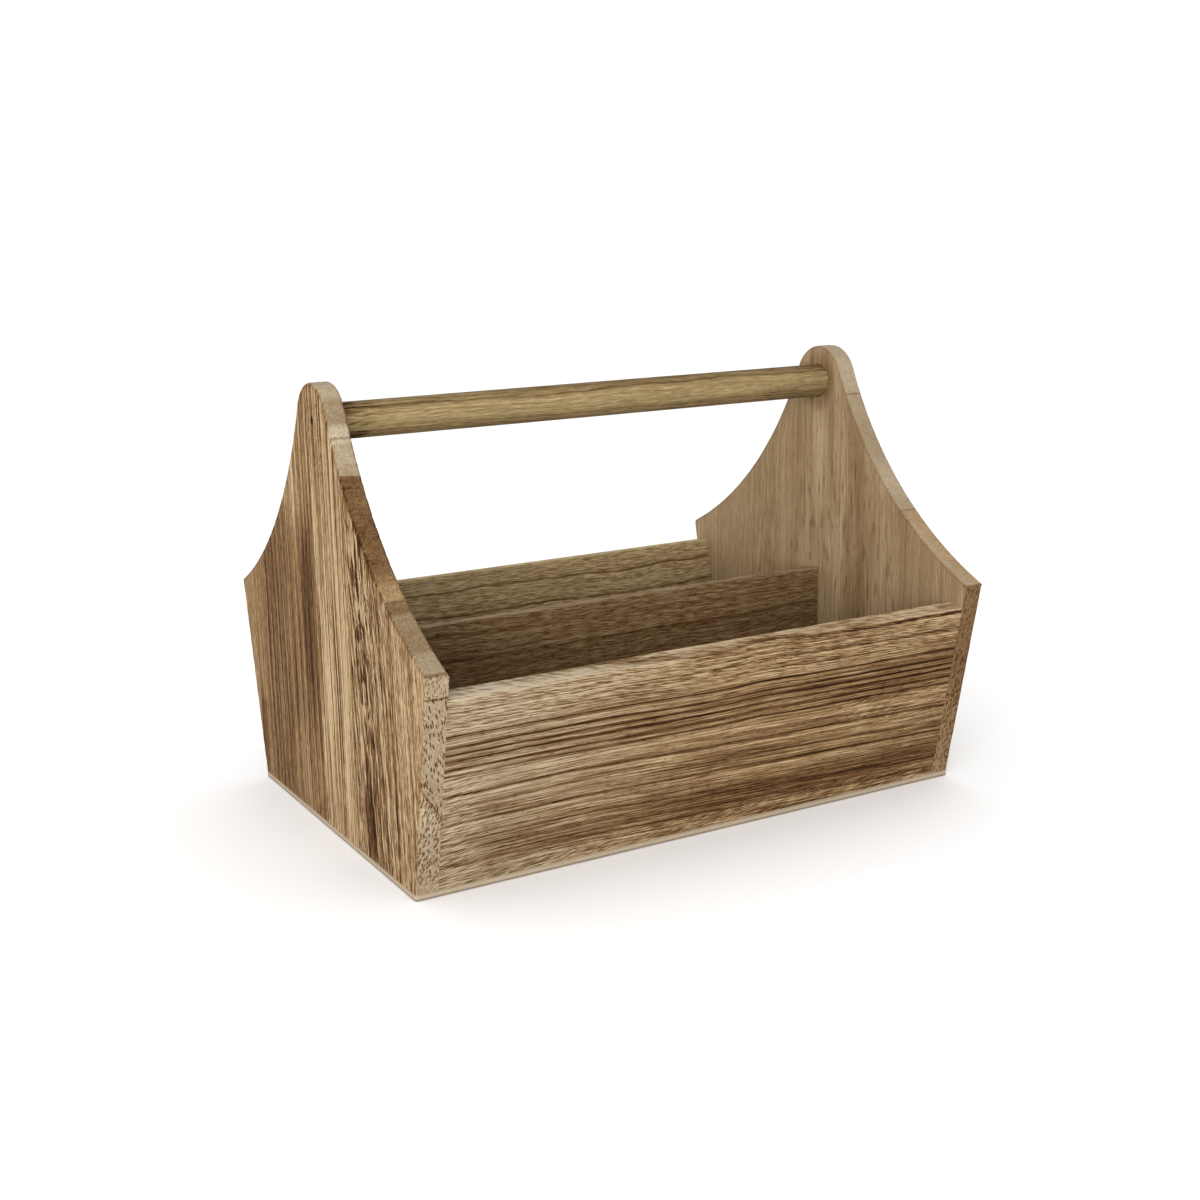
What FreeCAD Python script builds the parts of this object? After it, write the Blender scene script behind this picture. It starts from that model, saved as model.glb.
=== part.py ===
"""Open wooden condiment caddy: two staved end panels, two leaning boards, a divider, a bottom and a bar.

Lengths are in millimetres. X runs along the caddy, Y from the front (-) to the back (+) and Z up. The
origin is on the surface that the caddy stands on, below its middle.
"""

import FreeCAD, Part
import math
import os

import Sketcher
from FreeCAD import Placement, Rotation, Vector

# ---------------------------------------------------------------- driving sizes

SIZES = {
    # the whole caddy
    "overall_length": 280.0,
    "overall_height": 200.0,
    "foot_width": 176.5,        # across the boards where they stand on the bottom board
    "shoulder_width": 213.0,    # across the end panels at their widest
    "shoulder_height": 97.0,    # height of the corners between the straight sides and the flanks
    # end panels
    "panel_thickness": 10.0,
    "nose_radius": 17.0,        # rounded top, concentric with the handle bar
    "flank_radius": 180.0,      # concave arc from the shoulder up to the nose
    "arris_radius": 1.5,        # sanded edges of the panels and of the boards' tops
    "left_glue_1": -70.0,       # glue lines between the staves, from front to back
    "left_glue_2": -32.0,
    "left_glue_3": 6.0,
    "left_glue_4": 47.0,
    "left_glue_5": 80.0,
    "right_glue_1": -62.0,
    "right_glue_2": -21.0,
    "right_glue_3": 20.0,
    "right_glue_4": 61.0,
    # front and back boards
    "board_thickness": 10.0,
    "board_drop": 9.0,          # from the shoulders down to the boards' inner top edges and the divider
    # divider and bottom board
    "divider_thickness": 5.0,
    "divider_arris": 0.8,
    "base_thickness": 2.7,
    "base_corner": 1.5,
    # handle bar in its blind sockets
    "bar_diameter": 16.0,
    "socket_depth": 6.0,
    "socket_clearance": 0.15,   # radial, between the bar and the wall of its socket
    "socket_end_gap": 0.2,      # between the bar's end and the floor of its socket
    # T-headed nail through each end panel into the bar's end grain
    "nail_wire_y": 1.4,
    "nail_wire_z": 1.6,
    "nail_head_y": 1.6,
    "nail_head_z": 3.2,
    "nail_head_thickness": 1.2,
    "nail_length": 30.0,
    "nail_set_depth": 1.2,      # the head lies this far below the panel's face
    "nail_offset_y": -2.0,      # where the nail was driven, from the bar's axis
    "nail_offset_z": 1.0,
    # headless pins through the end panels into the boards and the divider
    "pin_wire": 0.7,
    "pin_length": 24.0,
    "pin_set_depth": 0.5,
    "pin_first_height": 20.0,
    "pin_spacing": 25.0,
    "divider_pin_spacing": 40.0,
    # T-headed brads up through the bottom board
    "brad_wire_x": 1.2,
    "brad_wire_y": 1.0,
    "brad_head_x": 2.0,
    "brad_head_y": 1.2,
    "brad_head_thickness": 1.0,
    "brad_length": 14.0,
    "brad_set_depth": 0.2,
    "board_brad_spacing": 90.0,
    "panel_brad_spacing": 90.0,
    "divider_brad_spacing": 120.0,
}

doc = FreeCAD.newDocument("condiment_caddy")
sheet = doc.addObject("Spreadsheet::Sheet", "Sizes")
for row, (alias, value) in enumerate(SIZES.items(), start=1):
    sheet.set(f"A{row}", alias)
    sheet.set(f"B{row}", str(value))
    sheet.setAlias(f"B{row}", alias)
doc.recompute()

nodes = []  # the finished sub-parts, in the order in which they are made


def cell(alias):
    """The expression that reads one driving size."""
    return f"Sizes.{alias}"


def half(alias):
    return f"Sizes.{alias} / 2"


# Expressions that several pieces share.
OUTER_X = half("overall_length")
INNER_X = f"({OUTER_X} - Sizes.panel_thickness)"
BAR_HEIGHT = "(Sizes.overall_height - Sizes.nose_radius)"
BOARD_TOP = "(Sizes.shoulder_height - Sizes.board_drop)"
SLOPE = "((Sizes.shoulder_width - Sizes.foot_width) / 2 / (Sizes.shoulder_height - Sizes.base_thickness))"


def board_centre(height):
    """Distance of a leaning board's mid-plane from the caddy's middle, at a height."""
    lean = f"{SLOPE} * ({height} - Sizes.base_thickness)"
    return f"(Sizes.foot_width / 2 + {lean} - Sizes.board_thickness / 2 * sqrt(1 + {SLOPE}^2))"


def finish(piece, label):
    """Gives a finished sub-part its name and adds it to what is exported."""
    piece.Label = label
    nodes.append(piece)


# ---------------------------------------------------------------- building blocks

def plane_of(body, role):
    return next(o for o in body.Origin.OriginFeatures if o.Role == role)


def bind(sketch, constraint, expression):
    """Adds a dimension to a sketch and ties it to the sheet."""
    index = sketch.addConstraint(constraint)
    sketch.setExpression(f"Constraints[{index}]", expression)


def block(name, low, extent):
    """A box from expressions: its low corner and its three side lengths."""
    box = doc.addObject("Part::Box", name)
    for side, expression in zip(("Length", "Width", "Height"), extent):
        box.setExpression(side, expression)
    for axis, expression in zip("xyz", low):
        box.setExpression(f"Placement.Base.{axis}", expression)
    return box


def group(name, members):
    compound = doc.addObject("Part::Compound", name)
    compound.Links = members
    return compound


def drill(name, base, holes):
    """Removes every hole from a piece."""
    tool = doc.addObject("Part::MultiFuse", f"{name}_holes")
    tool.Shapes = holes
    piece = doc.addObject("Part::Cut", name)
    piece.Base = base
    piece.Tool = tool
    return piece


def from_end(side, start, length):
    """Low X of a span that starts a distance inside an end panel's outer face and runs inwards."""
    if side < 0:
        return f"-{OUTER_X} + ({start})"
    return f"{OUTER_X} - ({start}) - ({length})"


def centred(middle, width):
    return f"{middle} - ({width}) / 2"


# ---------------------------------------------------------------- fasteners and their holes

ENDS = {"left": -1, "right": 1}
FACES = {"front": -1, "back": 1}


def make_pins(name, spots):
    """Headless square pins at (Y, Z) spots through both end panels, and the holes that they fill."""
    pins = []
    holes = []
    wire = cell("pin_wire")
    drilled = "Sizes.pin_set_depth + Sizes.pin_length"
    for end, side in ENDS.items():
        for number, (y, z) in enumerate(spots, start=1):
            tag = f"{name}_{end}_{number}"
            corner = [centred(y, wire), centred(z, wire)]
            pin_x = from_end(side, cell("pin_set_depth"), cell("pin_length"))
            pins.append(block(f"{tag}_wire", [pin_x] + corner, [cell("pin_length"), wire, wire]))
            hole_x = from_end(side, "0", drilled)
            holes.append(block(f"{tag}_hole", [hole_x] + corner, [drilled, wire, wire]))
    finish(group(name, pins), name)
    return holes


def make_brads(name, spots):
    """T-headed brads at (X, Y) spots up through the bottom board, and the holes that they fill."""
    brads = []
    holes = []
    head = [cell("brad_head_x"), cell("brad_head_y")]
    wire = [cell("brad_wire_x"), cell("brad_wire_y")]
    head_top = "Sizes.brad_set_depth + Sizes.brad_head_thickness"
    shank = "Sizes.brad_length - Sizes.brad_head_thickness"
    for number, (x, y) in enumerate(spots, start=1):
        tag = f"{name}_{number}"
        head_low = [centred(x, head[0]), centred(y, head[1])]
        wire_low = [centred(x, wire[0]), centred(y, wire[1])]
        brad = doc.addObject("Part::Fuse", tag)
        thickness = cell("brad_head_thickness")
        brad.Base = block(f"{tag}_head", head_low + [cell("brad_set_depth")], head + [thickness])
        brad.Tool = block(f"{tag}_wire", wire_low + [head_top], wire + [shank])
        brads.append(brad)
        holes.append(block(f"{tag}_recess", head_low + ["0"], head + [head_top]))
        holes.append(block(f"{tag}_hole", wire_low + [head_top], wire + [shank]))
    finish(group(name, brads), name)
    return holes


def make_nails(name):
    """One T-headed nail per end, through the panel into the bar, and the holes that they fill."""
    nails = []
    holes = []
    middle_y = cell("nail_offset_y")
    middle_z = f"({BAR_HEIGHT} + Sizes.nail_offset_z)"
    head = [cell("nail_head_y"), cell("nail_head_z")]
    wire = [cell("nail_wire_y"), cell("nail_wire_z")]
    head_low = [centred(middle_y, head[0]), centred(middle_z, head[1])]
    wire_low = [centred(middle_y, wire[0]), centred(middle_z, wire[1])]
    thickness = cell("nail_head_thickness")
    recess = f"Sizes.nail_set_depth + {thickness}"
    shank = f"Sizes.nail_length - {thickness}"
    for end, side in ENDS.items():
        tag = f"{name}_{end}"
        head_x = from_end(side, cell("nail_set_depth"), thickness)
        wire_x = from_end(side, recess, shank)
        nail = doc.addObject("Part::Fuse", tag)
        nail.Base = block(f"{tag}_head", [head_x] + head_low, [thickness] + head)
        nail.Tool = block(f"{tag}_wire", [wire_x] + wire_low, [shank] + wire)
        nails.append(nail)
        holes.append(block(f"{tag}_recess", [from_end(side, "0", recess)] + head_low, [recess] + head))
        holes.append(block(f"{tag}_hole", [wire_x] + wire_low, [shank] + wire))
    finish(group(name, nails), name)
    return holes


pin_heights = [f"(Sizes.pin_first_height + {n} * Sizes.pin_spacing)" for n in range(3)]
divider_pin_heights = [f"(Sizes.pin_first_height + {n} * Sizes.divider_pin_spacing)" for n in range(2)]

pin_holes = {}
for face, sign in FACES.items():
    spots = [(f"{sign} * {board_centre(z)}", z) for z in pin_heights]
    pin_holes[face] = make_pins(f"{face}_board_pins", spots)
pin_holes["divider"] = make_pins("divider_pins", [("0", z) for z in divider_pin_heights])

nail_holes = make_nails("handle_nails")

# The brads follow the middle of each board that they reach, halfway up the wire above the bottom board.
brad_reach = "((Sizes.base_thickness + Sizes.brad_set_depth + Sizes.brad_length) / 2)"
brad_spots = []
for sign in FACES.values():
    for n in (-1, 0, 1):
        brad_spots.append((f"{n} * Sizes.board_brad_spacing", f"{sign} * {board_centre(brad_reach)}"))
for sign in ENDS.values():
    for n in (-1, 1):
        panel_x = f"{sign} * ({OUTER_X} - Sizes.panel_thickness / 2)"
        brad_spots.append((panel_x, f"{n} * Sizes.panel_brad_spacing / 2"))
for n in (-1, 1):
    brad_spots.append((f"{n} * Sizes.divider_brad_spacing / 2", "0"))
brad_holes = make_brads("bottom_brads", brad_spots)

# ---------------------------------------------------------------- end panels and their staves


def flank_arc():
    """Centre of the back flank, and its angles from the centre to the nose and to the shoulder.

    The flank touches the nose from outside and ends on the shoulder, so its centre is flank_radius
    from the shoulder and flank_radius + nose_radius from the nose's centre.
    """
    nose = Vector(0, sheet.overall_height - sheet.nose_radius, 0)
    shoulder = Vector(sheet.shoulder_width / 2, sheet.shoulder_height, 0)
    to_nose = sheet.flank_radius + sheet.nose_radius
    to_shoulder = sheet.flank_radius
    span = shoulder - nose
    along = (to_nose ** 2 - to_shoulder ** 2 + span.Length ** 2) / (2 * span.Length)
    across = math.sqrt(to_nose ** 2 - along ** 2)
    unit = Vector(span).normalize()
    centre = nose + unit * along + Vector(-unit.y, unit.x, 0) * across
    nose_angle = math.atan2(nose.y - centre.y, nose.x - centre.x) % (2 * math.pi)
    shoulder_angle = math.atan2(shoulder.y - centre.y, shoulder.x - centre.x) % (2 * math.pi)
    return centre, nose_angle, shoulder_angle


def draw_panel(sketch):
    """The end panel's outline: flat foot, straight leaning sides, concave flanks and a round nose."""
    foot = Vector(sheet.foot_width / 2, sheet.base_thickness, 0)
    shoulder = Vector(sheet.shoulder_width / 2, sheet.shoulder_height, 0)
    centre, nose_angle, shoulder_angle = flank_arc()

    def mirrored(point):
        return Vector(-point.x, point.y, 0)

    def arc(middle, radius, start, end):
        return Part.ArcOfCircle(Part.Circle(middle, Vector(0, 0, 1), radius), start, end)

    nose = Vector(0, sheet.overall_height - sheet.nose_radius, 0)
    foot_line = sketch.addGeometry(Part.LineSegment(mirrored(foot), foot))
    back_side = sketch.addGeometry(Part.LineSegment(foot, shoulder))
    back_flank = sketch.addGeometry(arc(centre, sheet.flank_radius, nose_angle, shoulder_angle))
    nose_arc = sketch.addGeometry(
        arc(nose, sheet.nose_radius, nose_angle - math.pi, 2 * math.pi - nose_angle))
    front_flank = sketch.addGeometry(
        arc(mirrored(centre), sheet.flank_radius, 3 * math.pi - shoulder_angle, 3 * math.pi - nose_angle))
    front_side = sketch.addGeometry(Part.LineSegment(mirrored(shoulder), mirrored(foot)))

    start, end, middle, origin, upright = 1, 2, 3, (-1, 1), -2
    for constraint in (
            Sketcher.Constraint("Coincident", foot_line, end, back_side, start),
            Sketcher.Constraint("Coincident", back_side, end, back_flank, end),
            Sketcher.Constraint("Tangent", back_flank, start, nose_arc, start),
            Sketcher.Constraint("Tangent", nose_arc, end, front_flank, end),
            Sketcher.Constraint("Coincident", front_flank, start, front_side, start),
            Sketcher.Constraint("Coincident", front_side, end, foot_line, start),
            Sketcher.Constraint("Symmetric", foot_line, start, foot_line, end, upright),
            Sketcher.Constraint("Symmetric", front_side, start, back_side, end, upright),
            Sketcher.Constraint("PointOnObject", nose_arc, middle, upright)):
        sketch.addConstraint(constraint)
    across = "DistanceX"
    up = "DistanceY"
    for constraint, expression in (
            (Sketcher.Constraint(across, foot_line, start, foot_line, end, 2 * foot.x), cell("foot_width")),
            (Sketcher.Constraint(up, *origin, foot_line, start, foot.y), cell("base_thickness")),
            (Sketcher.Constraint(across, front_side, start, back_side, end, 2 * shoulder.x),
             cell("shoulder_width")),
            (Sketcher.Constraint(up, *origin, back_side, end, shoulder.y), cell("shoulder_height")),
            (Sketcher.Constraint(up, *origin, nose_arc, middle, nose.y), BAR_HEIGHT),
            (Sketcher.Constraint("Radius", nose_arc, sheet.nose_radius), cell("nose_radius")),
            (Sketcher.Constraint("Radius", back_flank, sheet.flank_radius), cell("flank_radius")),
            (Sketcher.Constraint("Radius", front_flank, sheet.flank_radius), cell("flank_radius"))):
        bind(sketch, constraint, expression)


def is_curved(edge):
    """True for an edge along a flank or the nose."""
    return isinstance(edge.Curve, Part.Circle)


def is_outer_side(edge):
    """True for an edge along a straight side on the panel's outer face."""
    box = edge.BoundBox
    is_outer = box.XMin > (sheet.overall_length - sheet.panel_thickness) / 2
    return is_outer and box.ZLength > sheet.panel_thickness and not is_curved(edge)


def ease(body, name, base, is_sanded):
    """Rounds the edges of a body's latest feature that pass a test."""
    doc.recompute()
    edges = [f"Edge{number}" for number, edge in enumerate(base.Shape.Edges, start=1) if is_sanded(edge)]
    easing = body.newObject("PartDesign::Fillet", name)
    easing.Base = (base, edges)
    easing.setExpression("Radius", cell("arris_radius"))
    body.Tip = easing
    return easing


def make_panel_blank():
    """The solid right-hand panel before it is drilled.

    The straight sides are eased on the outer face only, because the boards lie flush with them inside,
    and before the curved edges, so that each fillet ends cleanly at the shoulders.
    """
    body = doc.addObject("PartDesign::Body", "panel_blank")
    sketch = body.newObject("Sketcher::SketchObject", "panel_outline")
    sketch.AttachmentSupport = [(plane_of(body, "YZ_Plane"), "")]
    sketch.MapMode = "FlatFace"
    sketch.setExpression("AttachmentOffset.Base.z", INNER_X)
    draw_panel(sketch)
    pad = body.newObject("PartDesign::Pad", "panel_pad")
    pad.Profile = sketch
    pad.setExpression("Length", cell("panel_thickness"))
    sides = ease(body, "panel_sides_eased", pad, is_outer_side)
    ease(body, "panel_curves_eased", sides, is_curved)
    return body


def make_socket(end, side):
    """The round blind hole for the bar, open on the panel's inner face."""
    socket = doc.addObject("Part::Cylinder", f"{end}_socket")
    socket.Placement = Placement(Vector(), Rotation(Vector(0, 1, 0), 90))
    socket.setExpression("Radius", "Sizes.bar_diameter / 2 + Sizes.socket_clearance")
    socket.setExpression("Height", cell("socket_depth"))
    start = "Sizes.panel_thickness - Sizes.socket_depth"
    socket.setExpression("Placement.Base.x", from_end(side, start, cell("socket_depth")))
    socket.setExpression("Placement.Base.z", BAR_HEIGHT)
    return socket


def make_staves(end, side, drilled, glue_lines):
    """Splits a drilled panel at its glue lines into staves, numbered from front to back."""
    beyond = cell("shoulder_width")
    limits = [f"-{beyond}"] + [cell(name) for name in glue_lines] + [beyond]
    low_x = from_end(side, "0", cell("panel_thickness"))
    for number, (low_y, high_y) in enumerate(zip(limits, limits[1:]), start=1):
        name = f"{end}_stave_{number}"
        stave = doc.addObject("Part::Common", name)
        stave.Base = drilled
        extent = [cell("panel_thickness"), f"{high_y} - ({low_y})", cell("overall_height")]
        stave.Tool = block(f"{name}_span", [low_x, low_y, "0"], extent)
        finish(stave, name)


panel_holes = pin_holes["front"] + pin_holes["back"] + pin_holes["divider"] + nail_holes + brad_holes
right_blank = make_panel_blank()
left_blank = doc.addObject("Part::Mirroring", "left_blank")
left_blank.Source = right_blank
left_blank.Normal = Vector(1, 0, 0)
for end, blank in (("left", left_blank), ("right", right_blank)):
    side = ENDS[end]
    drilled = drill(f"{end}_panel", blank, panel_holes + [make_socket(end, side)])
    make_staves(end, side, drilled, [name for name in SIZES if name.startswith(f"{end}_glue")])

# ---------------------------------------------------------------- front and back boards


def draw_board(sketch, sign):
    """Section of a leaning board: outer face in line with the panel's side, top square to the faces."""
    slope = (sheet.shoulder_width - sheet.foot_width) / 2 / (sheet.shoulder_height - sheet.base_thickness)
    lean = math.atan(slope)
    across = sheet.board_thickness / math.cos(lean)

    def point(distance, height):
        return Vector(sign * distance, height, 0)

    def outer_at(height):
        return sheet.foot_width / 2 + slope * (height - sheet.base_thickness)

    outer_foot = point(outer_at(sheet.base_thickness), sheet.base_thickness)
    inner_foot = point(outer_at(sheet.base_thickness) - across, sheet.base_thickness)
    inner_height = sheet.shoulder_height - sheet.board_drop
    outer_height = inner_height - sheet.board_thickness * math.sin(lean)
    inner_top = point(outer_at(inner_height) - across, inner_height)
    outer_top = point(outer_at(outer_height), outer_height)
    shoulder = point(sheet.shoulder_width / 2, sheet.shoulder_height)

    outer = sketch.addGeometry(Part.LineSegment(outer_foot, outer_top))
    top = sketch.addGeometry(Part.LineSegment(outer_top, inner_top))
    inner = sketch.addGeometry(Part.LineSegment(inner_top, inner_foot))
    foot = sketch.addGeometry(Part.LineSegment(inner_foot, outer_foot))
    side_line = sketch.addGeometry(Part.LineSegment(outer_foot, shoulder), True)

    start, end, origin = 1, 2, (-1, 1)
    for constraint in (
            Sketcher.Constraint("Coincident", outer, end, top, start),
            Sketcher.Constraint("Coincident", top, end, inner, start),
            Sketcher.Constraint("Coincident", inner, end, foot, start),
            Sketcher.Constraint("Coincident", foot, end, outer, start),
            Sketcher.Constraint("Coincident", side_line, start, outer, start),
            Sketcher.Constraint("PointOnObject", outer, end, side_line),
            Sketcher.Constraint("Horizontal", foot),
            Sketcher.Constraint("Parallel", outer, inner),
            Sketcher.Constraint("Perpendicular", outer, top)):
        sketch.addConstraint(constraint)

    def outwards(geometry, vertex, distance):
        """A horizontal distance from the caddy's middle, which is positive on both faces."""
        ends = (*origin, geometry, vertex) if sign > 0 else (geometry, vertex, *origin)
        return Sketcher.Constraint("DistanceX", *ends, distance)

    up = "DistanceY"
    for constraint, expression in (
            (outwards(outer, start, abs(outer_foot.x)), half("foot_width")),
            (Sketcher.Constraint(up, *origin, outer, start, outer_foot.y), cell("base_thickness")),
            (outwards(side_line, end, abs(shoulder.x)), half("shoulder_width")),
            (Sketcher.Constraint(up, *origin, side_line, end, shoulder.y), cell("shoulder_height")),
            (Sketcher.Constraint(up, *origin, inner, start, inner_top.y), BOARD_TOP),
            (Sketcher.Constraint("Distance", inner, end, outer, sheet.board_thickness),
             cell("board_thickness"))):
        bind(sketch, constraint, expression)


def is_top_edge(edge):
    """True for an edge along the top of a board or of the divider."""
    box = edge.BoundBox
    return box.XLength > sheet.panel_thickness and box.ZMin > sheet.shoulder_height / 2


def make_board(face, sign):
    body = doc.addObject("PartDesign::Body", f"{face}_board_blank")
    sketch = body.newObject("Sketcher::SketchObject", f"{face}_board_section")
    sketch.AttachmentSupport = [(plane_of(body, "YZ_Plane"), "")]
    sketch.MapMode = "FlatFace"
    draw_board(sketch, sign)
    pad = body.newObject("PartDesign::Pad", f"{face}_board_pad")
    pad.Profile = sketch
    pad.SideType = "Symmetric"
    pad.setExpression("Length", f"2 * {INNER_X}")
    ease(body, f"{face}_board_top_eased", pad, is_top_edge)
    finish(drill(f"{face}_board", body, pin_holes[face] + brad_holes), f"{face}_board")


for face, sign in FACES.items():
    make_board(face, sign)

# ---------------------------------------------------------------- divider and bottom board


def is_upright(edge):
    return edge.BoundBox.ZLength > sheet.base_thickness / 2


def round_edges(name, blank, is_rounded, radius):
    """Rounds the edges of a box that pass a test."""
    doc.recompute()
    rounded = doc.addObject("Part::Fillet", name)
    rounded.Base = blank
    rounded.Edges = [(number, radius, radius) for number, edge in enumerate(blank.Shape.Edges, start=1)
                     if is_rounded(edge)]
    return rounded


divider_blank = block(
    "divider_blank",
    [f"-{INNER_X}", f"-{half('divider_thickness')}", cell("base_thickness")],
    [f"2 * {INNER_X}", cell("divider_thickness"), f"{BOARD_TOP} - Sizes.base_thickness"])
divider_eased = round_edges("divider_eased", divider_blank, is_top_edge, sheet.divider_arris)
finish(drill("divider", divider_eased, pin_holes["divider"] + brad_holes), "divider")

base_blank = block(
    "bottom_board_blank",
    [f"-{OUTER_X}", f"-{half('foot_width')}", "0"],
    [cell("overall_length"), cell("foot_width"), cell("base_thickness")])
base_rounded = round_edges("bottom_board_rounded", base_blank, is_upright, sheet.base_corner)
finish(drill("bottom_board", base_rounded, brad_holes), "bottom_board")

# ---------------------------------------------------------------- handle bar

bar_blank = doc.addObject("Part::Cylinder", "handle_bar_blank")
bar_blank.Placement = Placement(Vector(), Rotation(Vector(0, 1, 0), 90))
bar_blank.setExpression("Radius", half("bar_diameter"))
bar_blank.setExpression("Height", f"2 * ({INNER_X} + Sizes.socket_depth - Sizes.socket_end_gap)")
bar_blank.setExpression("Placement.Base.x", f"-({INNER_X} + Sizes.socket_depth - Sizes.socket_end_gap)")
bar_blank.setExpression("Placement.Base.z", BAR_HEIGHT)
finish(drill("handle_bar", bar_blank, nail_holes), "handle_bar")

# ---------------------------------------------------------------- check and export

doc.recompute()
for thing in doc.Objects:
    for state in ("Invalid", "Error"):
        if state in thing.State:
            raise RuntimeError(f"{thing.Label} is {state}")
for node in nodes:
    if node.Shape.isNull() or not node.Shape.isValid() or not node.Shape.Solids:
        raise RuntimeError(f"{node.Label} has no valid solid")

os.makedirs("parts", exist_ok=True)
for node in nodes:
    node.Shape.exportStep(f"parts/{node.Label}.step")
    print(f"{node.Label}: {len(node.Shape.Solids)} solid(s), {node.Shape.Volume:.1f} mm3")
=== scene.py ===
"""Looks of the open wooden condiment caddy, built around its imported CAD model.

The wood is torched and brushed: each board has its own figure of bands, growth lines, fibres and pores.
One formula gives a board's colour in its material and, through geometry nodes, the relief in its mesh.
Shapes and figures are written in millimetres; meshes are in metres, in the frame of the CAD model.
"""

import math
from typing import NamedTuple

import bpy
import numpy as np
from mathutils import Matrix, Vector


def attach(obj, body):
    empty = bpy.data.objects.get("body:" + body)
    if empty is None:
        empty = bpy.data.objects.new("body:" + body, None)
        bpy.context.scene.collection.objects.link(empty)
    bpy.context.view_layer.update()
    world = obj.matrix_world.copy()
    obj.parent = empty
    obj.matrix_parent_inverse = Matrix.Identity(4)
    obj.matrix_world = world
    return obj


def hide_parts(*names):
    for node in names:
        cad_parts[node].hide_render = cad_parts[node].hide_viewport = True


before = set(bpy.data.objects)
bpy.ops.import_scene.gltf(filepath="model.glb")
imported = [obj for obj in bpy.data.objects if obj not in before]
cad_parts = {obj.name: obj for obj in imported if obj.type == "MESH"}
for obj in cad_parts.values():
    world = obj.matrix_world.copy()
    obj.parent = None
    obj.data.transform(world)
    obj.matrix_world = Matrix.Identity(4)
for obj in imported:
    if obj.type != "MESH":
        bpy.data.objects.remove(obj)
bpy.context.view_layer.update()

MM = 0.001
scene = bpy.context.scene

# ---- sizes, as in the CAD source

END_X = 140.0  # outer faces of the end panels
INNER_X = 130.0  # their inner faces, where the boards end
PANEL_THICKNESS = END_X - INNER_X
TOP_Z = 200.0
BASE_Z = 2.7  # top of the bottom board
FOOT_Y = 88.25  # half the width at the foot of the panels
SHOULDER_Y = 106.5
SHOULDER_Z = 97.0
TIP_Y = 106.3  # how far the shoulders reach once their arrises are sanded
NOSE_R = 17.0
FLANK_R = 180.0
ARRIS = 1.5
BOARD_THICKNESS = 10.0
BOARD_TOP_Z = 88.0
DIVIDER_THICKNESS = 5.0
DIVIDER_ARRIS = 0.8
BASE_CORNER = 1.5
BAR_Z = TOP_Z - NOSE_R
BAR_R = 8.0
BAR_END_X = 135.8
SOCKET_R = 8.15
SOCKET_DEPTH = 6.0
SLOPE = (SHOULDER_Y - FOOT_Y) / (SHOULDER_Z - BASE_Z)
LEAN = math.atan(SLOPE)
LEFT_GLUE = (-70.0, -32.0, 6.0, 47.0, 80.0)
RIGHT_GLUE = (-62.0, -21.0, 20.0, 61.0)
PAST_SIDE_Y = 120.0  # anywhere beyond the shoulders
NAIL_YZ = (-2.0, BAR_Z + 1.0)
NAIL_HEAD = (1.6, 3.2)  # across and up
NAIL_WIRE = (1.4, 1.6)
NAIL_SET = 1.2  # how far the nail's head lies below the panel's face
NAIL_HEAD_FLOOR = 2.4  # depth of the recess that holds the head
NAIL_LENGTH = 30.0
BRAD_HEAD = (2.0, 1.2, 1.0)  # along, across and thick
BRAD_SET = 0.2
BRAD_LENGTH = 14.0
BOARD_BRAD_SPACING = 90.0
PANEL_BRAD_SPACING = 90.0
DIVIDER_BRAD_SPACING = 120.0

FACE_POINTS = 72  # points across a stave's face, and through its thickness
EDGE_POINTS = 24
SOCKET_POINTS = 96
BAR_POINTS = 112
CORNER_POINTS = 7  # points round a corner's arc
SHARP_ANGLE = 40.0  # faces that meet at more degrees are shaded apart
DEEPEST = 0.35  # most that the relief sinks into the wood
EDGE_RELIEF = 0.2  # share of the relief that a sawn edge keeps
FACE_FADE = 0.5  # how far the relief runs on over a glued wall's arris
SIDE_FADE = 0.6
FOOT_FADE = 0.8  # height over which it starts above the foot
TOOL_REACH = 1.0  # how far a cutting tool stands clear of the surface that it cuts

# ---- formulas written as nodes


def operator(operation, is_swapped=False):
    """A Python operator that adds a math node."""
    def apply(first, second):
        values = (second, first) if is_swapped else (first, second)
        return first.net.math(operation, *values)
    return apply


class Signal:
    """A number or vector that a node gives, which Python's operators turn into more nodes."""

    __add__ = operator("ADD")
    __radd__ = operator("ADD", True)
    __sub__ = operator("SUBTRACT")
    __rsub__ = operator("SUBTRACT", True)
    __mul__ = operator("MULTIPLY")
    __truediv__ = operator("DIVIDE")

    def __init__(self, net, socket):
        self.net = net
        self.socket = socket

    def __abs__(self):
        return self.net.math("ABSOLUTE", self)


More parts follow.
